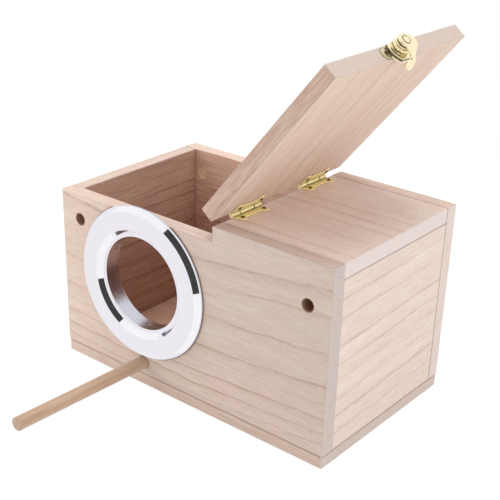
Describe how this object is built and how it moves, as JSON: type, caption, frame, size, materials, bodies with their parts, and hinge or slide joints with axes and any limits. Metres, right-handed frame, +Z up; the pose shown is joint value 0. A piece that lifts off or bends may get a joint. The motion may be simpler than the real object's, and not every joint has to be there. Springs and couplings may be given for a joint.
{
  "type": "parakeet nest box",
  "caption": "Wooden box for nesting parakeets, with a metal-ringed round entrance, a dowel perch, a fixed roof board and a hinged lid held by a swing hook.",
  "frame": {"origin": "centre of the base board's underside", "axes": "+X along the front to the right as seen from the front, +Y from the front to the back, +Z up"},
  "size_m": [0.216, 0.2186, 0.2262],
  "materials": {
    "wood": "bare planed paulownia, pale with a pinkish cast and brown grain lines",
    "dowel": "bare sanded hardwood dowel",
    "aluminium": "turned satin face with bright bevels",
    "steel": "plain",
    "brass": "bright brass plating"
  },
  "bodies": {
    "box": {"base_board": "wood", "front_panel": "wood", "back_panel": "wood", "left_side_panel": "wood", "right_side_panel": "wood", "roof_board": "wood", "entrance_ring": "aluminium", "entrance_ring_screw_1": "steel", "entrance_ring_screw_2": "steel", "entrance_ring_screw_3": "steel", "perch_dowel": "dowel", "front_hinge_roof_leaf": "brass", "front_hinge_pin": "brass", "front_hinge_roof_nail_1": "brass", "front_hinge_roof_nail_2": "brass", "rear_hinge_roof_leaf": "brass", "rear_hinge_pin": "brass", "rear_hinge_roof_nail_1": "brass", "rear_hinge_roof_nail_2": "brass", "catch_plate": "brass", "catch_stud": "brass", "catch_nail_1": "brass", "catch_nail_2": "brass"},
    "lid": {"lid_board": "wood", "front_hinge_lid_leaf": "brass", "front_hinge_lid_nail_1": "brass", "front_hinge_lid_nail_2": "brass", "rear_hinge_lid_leaf": "brass", "rear_hinge_lid_nail_1": "brass", "rear_hinge_lid_nail_2": "brass", "latch_plate": "brass", "latch_rivet": "brass", "latch_nail_1": "brass", "latch_nail_2": "brass"},
    "hook": {"latch_hook": "brass"}
  },
  "joints": [
    {"name": "lid_hinge", "type": "hinge", "parent": "box", "child": "lid", "pos_m": [0.0192, 0, 0.1211], "axis": [0, 1, 0], "range_deg": [-129, 36]},
    {"name": "latch_swing", "type": "hinge", "parent": "lid", "child": "hook", "pos_m": [0.09055, -0.003, 0.21787], "axis": [0.6293, 0, 0.7771], "range_deg": [-140, 180]}
  ]
}
